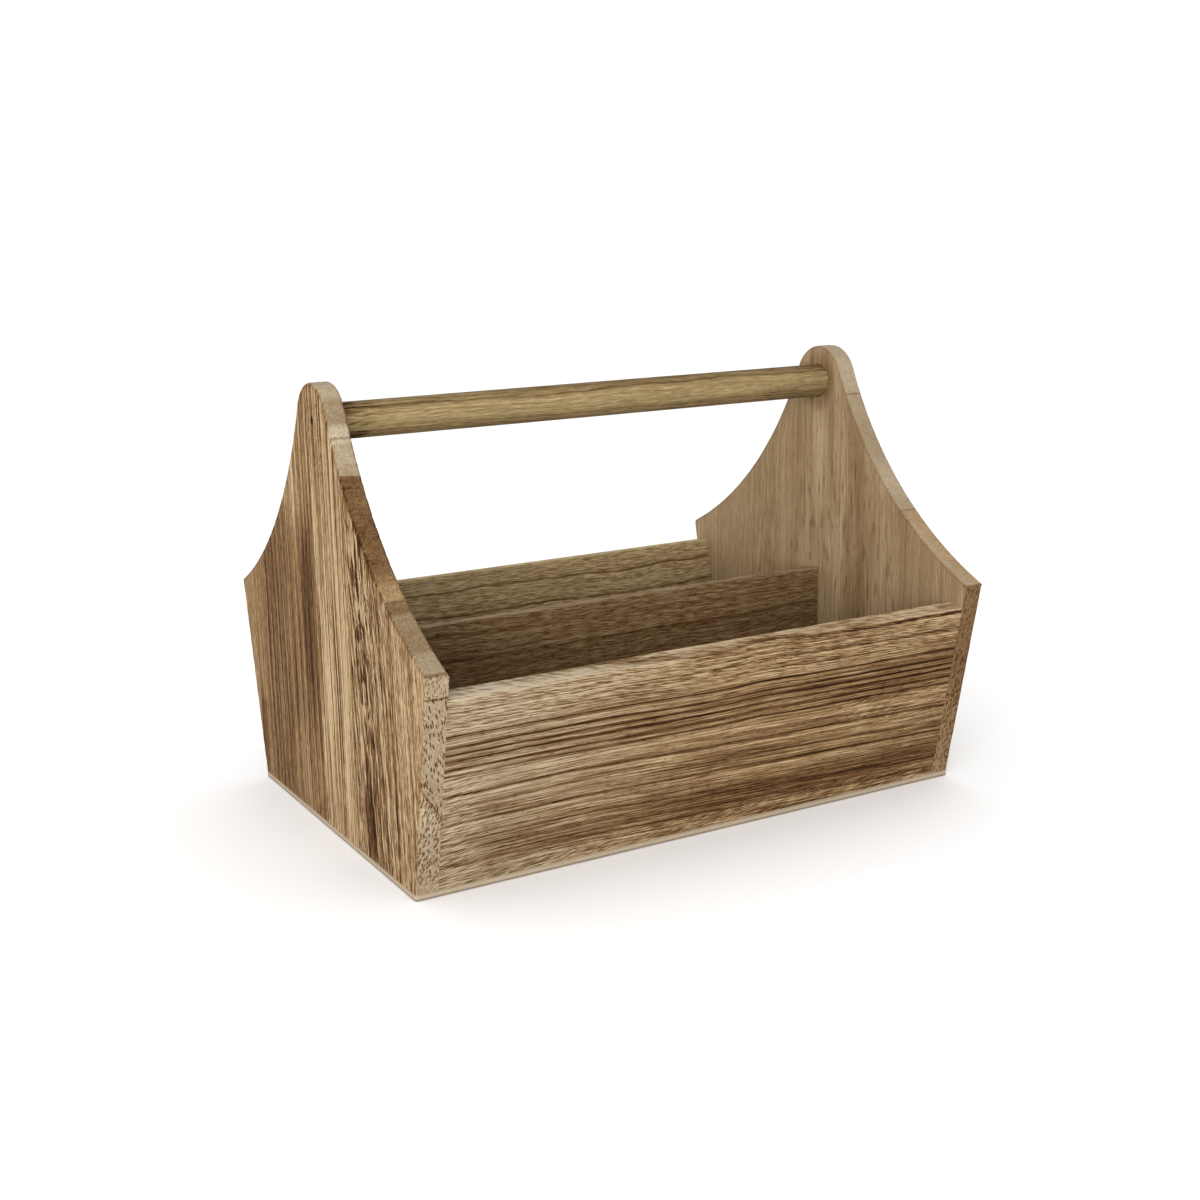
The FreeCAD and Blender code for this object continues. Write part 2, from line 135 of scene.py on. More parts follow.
class Net:
    """A node tree being written. The same calls work in a material and in geometry nodes."""

    def __init__(self, tree):
        self.tree = tree

    def node(self, kind, *values, **settings):
        """A node with its settings and its first inputs. None leaves an input as it is."""
        made = self.tree.nodes.new(kind)
        for name, value in settings.items():
            setattr(made, name, value)
        self.fill(made, dict(enumerate(values)))
        return made

    def fill(self, made, inputs):
        """Feeds a node's inputs by name or number."""
        for name, value in inputs.items():
            if isinstance(value, Signal):
                self.tree.links.new(value.socket, made.inputs[name])
            elif value is not None:
                made.inputs[name].default_value = value

    def signal(self, kind, *values, output=0, **settings):
        """What a new node gives."""
        return Signal(self, self.node(kind, *values, **settings).outputs[output])

    def math(self, operation, *values, clamp=False):
        return self.signal("ShaderNodeMath", *values, operation=operation, use_clamp=clamp)

    def clamp(self, value):
        return self.math("ADD", value, 0, clamp=True)

    def vector(self, x, y, z):
        return self.signal("ShaderNodeCombineXYZ", x, y, z)

    def split(self, vector):
        return [Signal(self, s) for s in self.node("ShaderNodeSeparateXYZ", vector).outputs]

    def scaled(self, vector, factor):
        return self.signal("ShaderNodeVectorMath", vector, None, None, factor, operation="SCALE")

    def noise(self, x, y, z, detail=2, roughness=0.5, warp=0):
        """Soft noise from 0 to 1 with a mean of a half and one feature to each unit."""
        made = self.node("ShaderNodeTexNoise")
        self.fill(made, {"Vector": self.vector(x, y, z), "Scale": 1, "Detail": detail,
                         "Roughness": roughness, "Distortion": warp})
        return Signal(self, made.outputs[0])

    def grain(self, across, along, third, size, *settings):
        """Noise whose features have a size, across and along, in millimetres."""
        return self.noise(across / size[0], along / size[1], third, *settings)

    def marks(self, value, low, high):
        """A value's middle stretched to a span from -0.5 to 0.5."""
        return self.step(value, low, high) - 0.5

    def spots(self, x, y, z):
        """Distance to the nearest of scattered points, about one to each unit cell."""
        return self.signal("ShaderNodeTexVoronoi", self.vector(x, y, z), None, 1)

    def pits(self, x, y, z, size, low, high):
        """Round marks with their sizes in millimetres, 1 up to a distance of low and 0 from high."""
        return self.fall(self.spots(x / size[0], y / size[1], z / size[2]), low, high)

    def step(self, value, low, high, start=0, end=1):
        """A smooth step from start to end as the value goes from low to high."""
        ends = (low, high, start, end)
        return self.signal("ShaderNodeMapRange", value, *ends, interpolation_type="SMOOTHSTEP")

    def fall(self, value, low, high):
        """A smooth step down from 1 to 0."""
        return self.step(value, low, high, 1, 0)

    def colours(self, value, stops):
        """A colour ramp through (place, colour) stops, at most 32."""
        made = self.node("ShaderNodeValToRGB", value)
        elements = made.color_ramp.elements
        for index, (where, colour) in enumerate(stops):
            element = elements[index] if index < 2 else elements.new(where)
            element.position = where
            element.color = colour
        return Signal(self, made.outputs[0])

    def ramp(self, value, stops):
        """Straight runs between (place, level) stops, in order of their places."""
        low = stops[0][0]
        span = stops[-1][0] - low
        greys = [((place - low) / span, (level, level, level, 1)) for place, level in stops]
        return self.colours((value - low) / span, greys)

    def palette(self, value, stops, share):
        """A colour for each level, from (level, sRGB bytes) stops, darkened to a share."""
        return self.colours(value, [(level, linear(colour, share)) for level, colour in stops])

    def bend(self, value, points):
        """A smooth curve through (place, offset) points, in the same unit. The first two are its ends."""
        low, high = points[0][0], points[1][0]
        reach = max(abs(offset) for _, offset in points)
        made = self.node("ShaderNodeFloatCurve", 1, (value - low) / (high - low))
        curve = made.mapping.curves[0]
        for index, (place, offset) in enumerate(points):
            spot = ((place - low) / (high - low), 0.5 + 0.5 * offset / reach)
            if index < 2:
                curve.points[index].location = spot
            else:
                curve.points.new(*spot)
        made.mapping.update()
        return (Signal(self, made.outputs[0]) - 0.5) * (2 * reach)

    def blend(self, share, first, second):
        return first + (second - first) * share

    def blend_colours(self, share, first, second):
        made = self.node("ShaderNodeMix", data_type="RGBA")
        self.fill(made, {0: share, 6: first, 7: second})
        return Signal(self, made.outputs[2])


def linear(colour, share):
    """sRGB bytes as a linear RGBA colour, darkened to a share."""
    levels = [c / 255 for c in colour]
    return [share * (c / 12.92 if c <= 0.04045 else ((c + 0.055) / 1.055) ** 2.4) for c in levels] + [1]


# ---- what wood looks like

# Tones run from 0, charred, to 1, the palest wood. The colours are as seen under the studio light, which
# is stronger than the white of a screen, so the surface itself is darker by WOOD_SHARE.
WOOD_SHARE = 0.62
WARM = ((0, (50, 30, 15)), (0.25, (91, 60, 34)), (0.5, (132, 100, 66)),
        (0.75, (170, 138, 97)), (1, (214, 186, 144)))
GREY = ((0, (48, 29, 13)), (0.25, (99, 69, 39)), (0.5, (139, 111, 77)),
        (0.75, (173, 153, 124)), (1, (212, 195, 168)))
OLIVE = ((0, (50, 36, 18)), (0.25, (96, 74, 42)), (0.5, (134, 112, 76)),
         (0.75, (168, 146, 102)), (1, (206, 186, 140)))
PALE = ((0, (66, 48, 30)), (0.5, (140, 118, 92)), (0.75, (172, 151, 126)), (1, (201, 184, 159)))

LINES_PER_RAMP = 10  # a ramp holds 32 stops: three for each line, and its two ends

# Sizes of marks in millimetres, across and along the grain.
SWAY_SIZE = (30.0, 55.0)
RIPPLE_SIZE = (9.0, 13.0)
CLOUD_SIZE = (14.0, 34.0)
STREAK_SIZE = (3.0, 60.0)
VESSEL_SIZE = (0.6, 4.0)
RAGGED_SIZE = (5.0, 25.0)
HAIR_LENGTH = 110.0

INNER_BLEND = 0.6  # how far an inner face takes its figure's inside tone
INNER_CALM = 0.74  # share of the fine marks that it loses
INNER_GREY = 0.35
RIM_FINE = 0.12  # share of the fine marks that a sawn edge keeps
ROUGHNESS = 0.62
DARK_ROUGHER = 0.18
SPECULAR = 0.03
FIBRE_BUMP = 0.35  # heights in the bump, in millimetres
PORE_BUMP = 0.06
RIM_PORE_BUMP = 0.12
SKIN = 0.05  # depths in the mesh's relief, in millimetres
HAIR_DEPTH = 0.3
FLECK_DEPTH = 0.32


def line_stops(ends, lines):
    """Stops for thin lines given as (place, half width, depth): a half is no line, and less is darker."""
    stops = [(end, 0.5) for end in ends]
    for place, half_width, depth in lines:
        stops = [stop for stop in stops if abs(stop[0] - place) > half_width]
        stops += [(place - half_width, 0.5), (place, 0.5 - depth), (place + half_width, 0.5)]
    return sorted(stops)


class Rim(NamedTuple):
    """How a board's sawn edges differ from its faces. Sizes are (across, along) the grain."""

    tone: float = 0.0
    speckle: float = 0.3
    pores: float = 0.25
    size: tuple = (1.1, 1.6)
    at_side: object = None  # a function for the marks of this edge alone
    arris: float = -0.7  # tone along the arrises: below nought a dark burnt line, above it a painted highlight
    grey: float = 0.8  # share of the second palette


class Figure(NamedTuple):
    """How one board looks: its tones across the grain, and how strong each kind of mark is.

    Bands are (place, tone), lines (place, half width, depth) and patches (oval, change of tone). An oval is
    its middle and half sizes, across and along. Each board's own marks are in drift, extra and tint.
    """

    bands: tuple
    lines: tuple = ()
    seed: float = 0.0
    wobble: float = 1.0
    fibre: float = 0.26
    fibre_size: tuple = (0.8, 7.0)
    hair: float = 0.4
    hair_width: float = 0.9
    streak: float = 0.14
    cloud: float = 0.12
    pores: float = 0.16
    fleck: float = 0.0
    fleck_at: tuple = ()
    fleck_size: tuple = ()
    lean: float = 0.0
    patches: tuple = ()
    drift: object = None
    extra: object = None
    groove: float = 0.6
    rim: Rim = Rim()
    grey: float = 0.0  # share of the second palette
    inside: float = None  # tone of the calmer inner face
    second: tuple = GREY
    tint: object = None


def patch(net, across, along, oval):
    """A soft oval from 1 at its middle to 0 at its rim, with an uneven outline."""
    middle_across, middle_along, half_across, half_along = oval
    a = (across - middle_across) / half_across
    b = (along - middle_along) / half_along
    ragged = (net.grain(across, along, 0, RAGGED_SIZE) - 0.5) * 0.7
    return net.fall(a * a + b * b + ragged, 0.15, 1)


def growth_lines(net, figure, followed):
    """How deep the figure's growth lines are at a place across the grain."""
    ends = (figure.bands[0][0], figure.bands[-1][0])
    depth = 0
    for first in range(0, len(figure.lines), LINES_PER_RAMP):
        stops = line_stops(ends, figure.lines[first:first + LINES_PER_RAMP])
        depth = depth + (0.5 - net.ramp(followed, stops))
    return depth


def wood(net, figure, along, across, deep):
    """The marks of a figure at a place, as a dict of signals.

    base is the broad tone and fine what is drawn on it. groove, fleck and hair shape the mesh, fibre and
    pore only the bump.
    """
    seed = figure.seed
    sway = net.grain(across, along, seed, SWAY_SIZE, 1)
    ripple = net.grain(across, along, seed + 3, RIPPLE_SIZE, 1)
    followed = across + (sway - 0.5) * figure.wobble * 2 + (ripple - 0.5) * figure.wobble * 0.6
    if figure.drift:
        followed = followed + figure.drift(net, along, across)
    cloud = net.grain(across, along, deep / CLOUD_SIZE[0] + seed, CLOUD_SIZE, 3, 0.6) - 0.5
    base = net.ramp(followed, figure.bands) + cloud * (2 * figure.cloud)
    for oval, change in figure.patches:
        base = base + patch(net, across, along, oval) * change
    leaning = followed - along * figure.lean
    fibre = net.grain(leaning, along, deep / 0.8 + seed, figure.fibre_size, 2, 0.55)
    fibre = net.marks(fibre, 0.36, 0.64)
    hair_size = (figure.hair_width, HAIR_LENGTH)
    hair = net.grain(leaning, along, deep / 2 + seed + 2, hair_size, 2, 0.6)
    hair = net.marks(hair, 0.37, 0.63)
    streak = net.grain(followed, along, deep / 4 + seed, STREAK_SIZE, 3, 0.6) - 0.5
    vessel = net.grain(followed, along, deep / VESSEL_SIZE[0] + seed + 7, VESSEL_SIZE, 1, 0.4)
    pore = net.step(vessel, 0.58, 0.68)
    fine = fibre * figure.fibre + hair * figure.hair + streak * (2 * figure.streak) - pore * figure.pores
    marks = {"base": base, "fibre": fibre, "hair": hair, "pore": pore}
    if figure.lines:
        line = growth_lines(net, figure, followed)
        fine = fine - line * (1.25 + streak * 1.4)
        marks["groove"] = net.math("MAXIMUM", line, 0)
    if figure.fleck:
        wave = net.grain(leaning, along, deep / 4 + seed, figure.fleck_size, 2, 0.5, 0.35)
        marks["fleck"] = net.marks(wave, 0.42, 0.58) * patch(net, across, along, figure.fleck_at)
        fine = fine + marks["fleck"] * figure.fleck
    if figure.inside is not None:
        marks["inner"] = inner_share(net, abs(deep))
        fine = fine * (1 - marks["inner"] * INNER_CALM)
    if figure.extra:
        fine = fine + figure.extra(net, along, across, deep)
    marks["fine"] = fine
    return marks


def inner_share(net, reach):
    """From 0 at an end panel's outer face to 1 at its inner face."""
    return net.step(reach, END_X - 3, INNER_X + 2)


def rim_marks(net, figure, along, across, deep):
    """The tone that a sawn edge adds, and its pores: end grain instead of long fibres."""
    rim = figure.rim
    speckle = net.noise(across / 0.8, along, deep / 0.7 + figure.seed, 3, 0.65) - 0.5
    cell = net.spots(across / rim.size[0], along / rim.size[1], deep / rim.size[0] + figure.seed)
    hole = net.fall(cell, 0.18, 0.36)
    tone = speckle * (2 * rim.speckle) - hole * rim.pores + rim.tone
    if rim.at_side:
        tone = tone + rim.at_side(net, along, across, deep)
    return tone, hole


# ---- materials and relief


def stave_axes(x, y, z):
    return z, y, x


def front_axes(x, y, z):
    return x, z, y + z * SLOPE


def back_axes(x, y, z):
    return x, z, y - z * SLOPE


def divider_axes(x, y, z):
    return x, z, y


def new_look(name):
    """A material with one shader, its nodes and the place on the object, in millimetres."""
    look = bpy.data.materials.new(name)
    look.use_nodes = True
    look.node_tree.nodes.clear()
    net = Net(look.node_tree)
    shader = net.node("ShaderNodeBsdfPrincipled")
    net.node("ShaderNodeOutputMaterial", Signal(net, shader.outputs[0]))
    where = net.scaled(net.signal("ShaderNodeTexCoord", output="Object"), 1 / MM)
    return look, net, shader, net.split(where)


def wood_look(name, figure, axes):
    """Torched, brushed wood with the figure's colour, sheen and finest relief."""
    look, net, shader, where = new_look(name)
    along, across, deep = axes(*where)
    marks = wood(net, figure, along, across, deep)
    rim = net.signal("ShaderNodeAttribute", attribute_name="rim", output="Fac")
    edge, hole = rim_marks(net, figure, along, across, deep)
    fine = net.blend(rim, marks["fine"], marks["fine"] * RIM_FINE + edge)
    base = marks["base"]
    share = rim * figure.rim.grey + figure.grey
    if "inner" in marks:
        calm = net.math("MAXIMUM", marks["inner"], rim) * INNER_BLEND
        base = net.blend(calm, base, figure.inside)
        share = share + marks["inner"] * INNER_GREY
    if figure.tint:
        share = share + figure.tint(net, along, across)
    # Along the arrises: a dark burnt line where the figure's arris is below nought, a painted highlight
    # where it is above.
    arris = rim * (1 - rim) * figure.rim.arris
    tone = net.clamp(base + fine + arris)
    warm = net.palette(tone, WARM, WOOD_SHARE)
    second = net.palette(tone, figure.second, WOOD_SHARE)
    height = marks["fibre"] * (figure.fibre * FIBRE_BUMP) - marks["pore"] * PORE_BUMP
    height = height * (1 - rim) - hole * rim * RIM_PORE_BUMP
    bump = net.node("ShaderNodeBump")
    net.fill(bump, {"Strength": 1, "Distance": MM, "Height": height})
    net.fill(shader, {"Base Color": net.blend_colours(net.clamp(share), warm, second),
                      "Roughness": net.clamp(ROUGHNESS + (0.5 - tone) * DARK_ROUGHER),
                      "Specular IOR Level": SPECULAR,
                      "Normal": Signal(net, bump.outputs["Normal"])})
    return look


def carve(piece, figure, axes):
    """Sinks a figure's growth lines, flecks and hairs into the mesh, never outwards."""
    tree = bpy.data.node_groups.new(f"{piece.name}_relief", "GeometryNodeTree")
    for way in ("INPUT", "OUTPUT"):
        tree.interface.new_socket("Geometry", in_out=way, socket_type="NodeSocketGeometry")
    net = Net(tree)
    where = net.scaled(net.signal("GeometryNodeInputPosition"), 1 / MM)
    along, across, deep = axes(*net.split(where))
    marks = wood(net, figure, along, across, deep)
    depth = SKIN - marks["hair"] * (figure.hair * HAIR_DEPTH)
    if "groove" in marks:
        depth = depth + marks["groove"] * figure.groove
    if "fleck" in marks:
        depth = depth - (marks["fleck"] - 0.25) * FLECK_DEPTH
    depth = net.math("MINIMUM", net.math("MAXIMUM", depth, 0), DEEPEST)
    inward = net.signal("GeometryNodeInputNamedAttribute", "inward", data_type="FLOAT_VECTOR")
    start = net.signal("NodeGroupInput")
    offset = net.scaled(inward, depth * MM)
    net.node("NodeGroupOutput", net.signal("GeometryNodeSetPosition", start, None, None, offset))
    piece.modifiers.new("relief", "NODES").node_group = tree
    freeze(piece)


def freeze(piece):
    """Makes a piece's modifiers part of its mesh."""
    shaped = piece.evaluated_get(bpy.context.evaluated_depsgraph_get())
    mesh = bpy.data.meshes.new_from_object(shaped)
    piece.modifiers.clear()
    old = piece.data
    piece.data = mesh
    bpy.data.meshes.remove(old)
    mesh.name = piece.name


# ---- meshes


def add(name, data):
    """A new object in the scene."""
    made = bpy.data.objects.new(name, data)
    scene.collection.objects.link(made)
    return made


def mesh_piece(name, points, faces, inward=(), rim=()):
    """A mesh object from points in millimetres, with the ways inwards and shares of edge, if any."""
    mesh = bpy.data.meshes.new(name)
    mesh.from_pydata((np.asarray(points) * MM).tolist(), [], faces)
    for tag, kind, key, values in (("inward", "FLOAT_VECTOR", "vector", inward),
                                   ("rim", "FLOAT", "value", rim)):
        if len(values):
            made = mesh.attributes.new(tag, kind, "POINT")
            made.data.foreach_set(key, np.ravel(values).astype(np.float32))
    mesh.validate()
    mesh.update()
    return add(name, mesh)


def tube_faces(rings, around, flip=False):
    """Quads between closed rings of points, and a face over each end."""
    faces = []
    for first in range(0, (rings - 1) * around, around):
        for spot in range(around):
            a, b = first + spot, first + (spot + 1) % around
            faces.append((a, b, b + around, a + around))
    faces.append(tuple(range(around - 1, -1, -1)))
    faces.append(tuple(range((rings - 1) * around, rings * around)))
    if flip:
        faces = [face[::-1] for face in faces]
    return faces


def spread(low, high, step):
    """Evenly spaced places from low to high, no further apart than a step."""
    return np.linspace(low, high, max(2, math.ceil((high - low) / step) + 1))


def circle(count):
    """Points of a circle with a radius of one."""
    return [(math.cos(a), math.sin(a)) for a in np.linspace(0, 2 * np.pi, count, endpoint=False)]


def crowded(count, strength):
    """Places from 0 to 1 that lie closer together near both ends."""
    even = np.linspace(0, 1, count)
    return even - strength * np.sin(2 * np.pi * even) / (2 * np.pi)


# ---- end panels


NOSE = np.array((0, BAR_Z))
SHOULDER = np.array((SHOULDER_Y, SHOULDER_Z))


def flank_centre():
    """Middle of the concave flank's circle, from the shoulder to the nose, as (y, z)."""
    span = np.linalg.norm(SHOULDER - NOSE)
    unit = (SHOULDER - NOSE) / span
    to_nose = FLANK_R + NOSE_R
    along = (to_nose ** 2 - FLANK_R ** 2 + span ** 2) / (2 * span)
    return NOSE + unit * along + np.array((-unit[1], unit[0])) * math.sqrt(to_nose ** 2 - along ** 2)


FLANK = flank_centre()
TOUCH = NOSE + (FLANK - NOSE) * NOSE_R / (FLANK_R + NOSE_R)


def half_width(z):
    """Distance from the panel's middle to its outline at a height."""
    if z <= SHOULDER_Z:
        return FOOT_Y + SLOPE * (z - BASE_Z)
    if z <= TOUCH[1]:
        return FLANK[0] - math.sqrt(FLANK_R ** 2 - (z - FLANK[1]) ** 2)
    return math.sqrt(max(NOSE_R ** 2 - (z - BAR_Z) ** 2, 0))


def to_outline(y, z, with_sides):
    """Distance from points inside the panel to its sanded outline, and the way outwards, as (d, ny, nz)."""
    side = np.where(y < 0, -1, 1)
    a = np.abs(y)
    from_nose = np.maximum(np.hypot(a, z - BAR_Z), 1e-6)
    from_flank = np.hypot(a - FLANK[0], z - FLANK[1])
    toward = TOUCH - NOSE
    is_nose = toward[0] * (z - BAR_Z) - toward[1] * a > 0
    d = np.where(is_nose, NOSE_R - from_nose, from_flank - FLANK_R)
    ny = np.where(is_nose, a / from_nose, (FLANK[0] - a) / from_flank)
    nz = np.where(is_nose, (z - BAR_Z) / from_nose, (FLANK[1] - z) / from_flank)
    if with_sides:
        d_side = (FOOT_Y + SLOPE * (z - BASE_Z) - a) * math.cos(LEAN)
        nearer = d_side < d
        d = np.where(nearer, d_side, d)
        ny = np.where(nearer, math.cos(LEAN), ny)
        nz = np.where(nearer, -math.sin(LEAN), nz)
    return np.stack([np.maximum(d, 0), ny * side, nz])


def stave_levels(low, high):
    """Heights of a stave's rows: close enough together to follow the outline up to its tip."""
    step, thinnest = 1.2, 0.15
    levels = [BASE_Z]
    z = BASE_Z
    while True:
        ahead = 0.05
        slopes = [abs(half_width(z + ahead) - half_width(z)) / ahead
                  for edge in (low, high) if half_width(z + 1) <= abs(edge) + 2]
        move = max(step / math.hypot(1, max(slopes, default=0)), 0.01)
        if z < SHOULDER_Z < z + move * 1.4:
            move = SHOULDER_Z - z
        z = z + move
        reach = half_width(z)
        if z >= TOP_Z or min(high, reach) - max(low, -reach) < thinnest:
            return np.array(levels)
        levels.append(z)


def stave_loop(z, low, high):
    """One row of a stave: outer face, high edge, inner face, low edge, as (y, depth, is glued)."""
    reach = half_width(z)
    y0, y1 = max(low, -reach), min(high, reach)
    across = y0 + (y1 - y0) * crowded(FACE_POINTS, 0.5)
    depths = crowded(EDGE_POINTS + 2, 0.72)[1:-1] * PANEL_THICKNESS
    face = np.zeros(FACE_POINTS)
    edge = np.ones(EDGE_POINTS)
    y = np.concatenate([across, edge * y1, across[::-1], edge * y0])
    t = np.concatenate([face, depths, face + PANEL_THICKNESS, depths[::-1]])
    is_glued = np.concatenate([face, edge * (high <= reach), face, edge * (low >= -reach)]) > 0
    return y, t, is_glued


def sand(y, z, t, is_glued):
    """Points of a panel whose arrises are rounded, the way inwards times its share, and the share of edge.

    The slanted sides stay sharp along the inner faces, where the boards meet them. The relief fades out
    on glued walls.
    """
    from_face = np.minimum(t, PANEL_THICKNESS - t)
    is_inner = t > PANEL_THICKNESS / 2
    outer = to_outline(y, z, True)
    inner = to_outline(y, z, False)
    d, ny, nz = np.where(is_inner, inner, outer)
    u = np.clip(1 - from_face / ARRIS, 0, 1)
    v = np.clip(1 - d / ARRIS, 0, 1)
    to_face = u * np.sqrt(1 - v * v / 2)
    to_edge = v * np.sqrt(1 - u * u / 2)
    depth = np.where(u > 0, ARRIS * (1 - to_face), from_face)
    shift = np.where(v > 0, ARRIS * (1 - to_edge) - d, 0)
    x = END_X - np.where(is_inner, PANEL_THICKNESS - depth, depth)
    points = np.stack([x, np.clip(y - ny * shift, -TIP_Y, TIP_Y), z - nz * shift], -1)
    is_side = is_inner & (outer[0] < 0.01) & (inner[0] > 0.01)
    to_face = np.where(is_side, 0, to_face)
    to_edge = np.where(is_side, 1, to_edge)
    ny, nz = np.where(is_side, outer[1:], (ny, nz))
    face_share = to_face * np.where(is_glued, np.clip(1 - from_face / FACE_FADE, 0, 1), 1)
    edge_share = to_edge * np.where(is_glued, np.clip(1 - d / SIDE_FADE, 0, 1), 1) * EDGE_RELIEF
    inward = np.stack([np.where(is_inner, 1, -1) * face_share, -ny * edge_share, -nz * edge_share], -1)
    fade = np.clip((points[..., 2:] - BASE_Z) / FOOT_FADE, 0, 1)
    return points, inward * fade, to_edge


def make_stave(name, end, low, high):
    """A stave of an end panel, from the foot to its tip on the outline."""
    levels = stave_levels(low, high)
    y, t, is_glued = (np.array(part) for part in zip(*(stave_loop(z, low, high) for z in levels)))
    points, inward, edge = sand(y, np.repeat(levels[:, None], y.shape[1], 1), t, is_glued)
    mirror = (end, 1, 1)
    faces = tube_faces(len(levels), y.shape[1], flip=end < 0)
    return mesh_piece(name, (points * mirror).reshape(-1, 3), faces, inward * mirror, edge)


# ---- boards, divider, bottom and bar


def rounded_section(corners, steps):
    """Points round a closed section and their ways inwards, from corners given as (y, z, radius).

    steps gives the spacing of points along each side, which starts at the corner of the same place.
    """
    corners = np.array(corners)
    runs = np.roll(corners, -1, axis=0)[:, :2] - corners[:, :2]
    lengths = np.linalg.norm(runs, axis=1)
    runs = runs / lengths[:, None]
    inwards = np.stack([-runs[:, 1], runs[:, 0]], -1)
    spots, ways = [], []
    for index, (y, z, radius) in enumerate(corners):
        if radius:
            middle = (y, z) + (inwards[index - 1] - runs[index - 1]) * radius
            for share in np.linspace(0, 1, CORNER_POINTS)[:-1]:
                way = inwards[index - 1] * (1 - share) + inwards[index] * share
                way = way / np.linalg.norm(way)
                spots.append(middle - way * radius)
                ways.append(way)
        next_radius = corners[index + 1 - len(corners)][2]
        for place in spread(radius, lengths[index] - next_radius, steps[index])[:-1]:
            spots.append((y, z) + runs[index] * place)
            ways.append(inwards[index])
    return spots, ways


def make_prism(name, corners, steps, x_step, rim):
    """A board between the end panels with a rounded section.

    rim gives how far up a point has to face to be edge, over what span that rises, and to what share.
    """
    spots, ways = rounded_section(corners, steps)
    stations = spread(-INNER_X, INNER_X, x_step)
    points = [(x, y, z) for x in stations for y, z in spots]
    inward = [(0, y, z) for _ in stations for y, z in ways]
    start, span, share = rim
    edge = [np.clip(-way[2] - start, 0, span) / span * share for way in inward]
    return mesh_piece(name, points, tube_faces(len(stations), len(spots)), inward, edge)


def make_board(name, side):
    """A leaning board. The wood lies on the left hand of each run from corner to corner."""
    across = BOARD_THICKNESS / math.cos(LEAN)
    outer_top_z = BOARD_TOP_Z - BOARD_THICKNESS * math.sin(LEAN)
    outer_foot = (FOOT_Y, BASE_Z, 0)
    outer_top = (FOOT_Y + SLOPE * (outer_top_z - BASE_Z), outer_top_z, ARRIS)
    inner_top = (FOOT_Y + SLOPE * (BOARD_TOP_Z - BASE_Z) - across, BOARD_TOP_Z, ARRIS)
    inner_foot = (FOOT_Y - across, BASE_Z, 0)
    corners = [outer_foot, outer_top, inner_top, inner_foot]
    steps = [0.5, 0.6, 0.8, 2]
    if side < 0:
        corners = [(-y, z, r) for y, z, r in corners][::-1]
        steps = [0.8, 0.6, 0.5, 2]
    return make_prism(name, corners, steps, 1.3, (0.3, 0.4, 0.35))


def make_divider(name):
    half = DIVIDER_THICKNESS / 2
    corners = [(half, BASE_Z, 0), (half, BOARD_TOP_Z, DIVIDER_ARRIS),
               (-half, BOARD_TOP_Z, DIVIDER_ARRIS), (-half, BASE_Z, 0)]
    return make_prism(name, corners, [0.8, 0.5, 0.8, 1], 1.6, (0, 1, 0.3))


def make_bottom(name):
    """The thin plywood bottom with eased edges. Narrow rings keep its two faces from being edge."""
    outline = []
    for x, y in ((1, -1), (1, 1), (-1, 1), (-1, -1)):
        for share in np.linspace(-0.25, 0.25, CORNER_POINTS):
            angle = math.atan2(y, x) + share * math.pi
            middle = (x * (END_X - BASE_CORNER), y * (FOOT_Y - BASE_CORNER))
            outline.append((*middle, math.cos(angle), math.sin(angle)))
    rings = [(0, 0.7, 0), (0, 0.15, 1)]
    rings += [(height, 0, 1) for height in (0.12, 0.5, 0.9, 1.35, 1.8, 2.25, 2.6)]
    rings += [(BASE_Z, 0.1, 1), (BASE_Z, 0.7, 0)]
    points, rim = [], []
    for height, inset, share in rings:
        out = BASE_CORNER - inset
        points += [(x + way_x * out, y + way_y * out, height) for x, y, way_x, way_y in outline]
        rim += [share] * len(outline)
    return mesh_piece(name, points, tube_faces(len(rings), len(outline)), rim=rim)


def brad_spots():
    """Middles of the brads' heads: under the boards, under the end panels and under the divider."""
    reach = (BASE_Z + BRAD_SET + BRAD_LENGTH) / 2
    board_y = FOOT_Y + SLOPE * (reach - BASE_Z) - BOARD_THICKNESS / math.cos(LEAN) / 2
    spots = [(n * BOARD_BRAD_SPACING, side * board_y) for side in (-1, 1) for n in (-1, 0, 1)]
    panel_x = END_X - PANEL_THICKNESS / 2
    spots += [(end * panel_x, n * PANEL_BRAD_SPACING / 2) for end in (-1, 1) for n in (-1, 1)]
    return spots + [(n * DIVIDER_BRAD_SPACING / 2, 0) for n in (-1, 1)]


def brad_tool(x, y):
    half_x, half_y = BRAD_HEAD[0] / 2, BRAD_HEAD[1] / 2
    return box_tool((x - half_x, y - half_y, -0.5), (x + half_x, y + half_y, BRAD_SET + BRAD_HEAD[2]))


def make_bar(name):
    """The dowel, with its ends eased and sunk in the sockets."""
    eased = [(BAR_END_X - 0.2, BAR_R - 0.15), (BAR_END_X, BAR_R - 0.6)]
    stations = [(x, BAR_R) for x in spread(0.6 - BAR_END_X, BAR_END_X - 0.6, 1)]
    stations = [(-x, r) for x, r in eased[::-1]] + stations + eased
    points, inward = [], []
    for x, radius in stations:
        share = 1 if abs(x) < BAR_END_X - 0.7 else 0
        for y, z in circle(BAR_POINTS):
            points.append((x, y * radius, BAR_Z + z * radius))
            inward.append((0, -y * share, -z * share))
    return mesh_piece(name, points, tube_faces(len(stations), BAR_POINTS), inward)


# ---- sockets and nail slots


def box_tool(low, high):
    corners = [[(low, high)[(i >> axis) & 1][axis] for axis in range(3)] for i in range(8)]
    faces = [(0, 2, 3, 1), (4, 5, 7, 6), (0, 1, 5, 4), (2, 6, 7, 3), (0, 4, 6, 2), (1, 3, 7, 5)]
    return mesh_piece("tool", corners, faces)


def socket_tool(end):
    points = [(end * x, SOCKET_R * y, BAR_Z + SOCKET_R * z)
              for x in (INNER_X - 3, INNER_X + SOCKET_DEPTH) for y, z in circle(SOCKET_POINTS)]
    return mesh_piece("tool", points, tube_faces(2, SOCKET_POINTS, flip=end < 0))


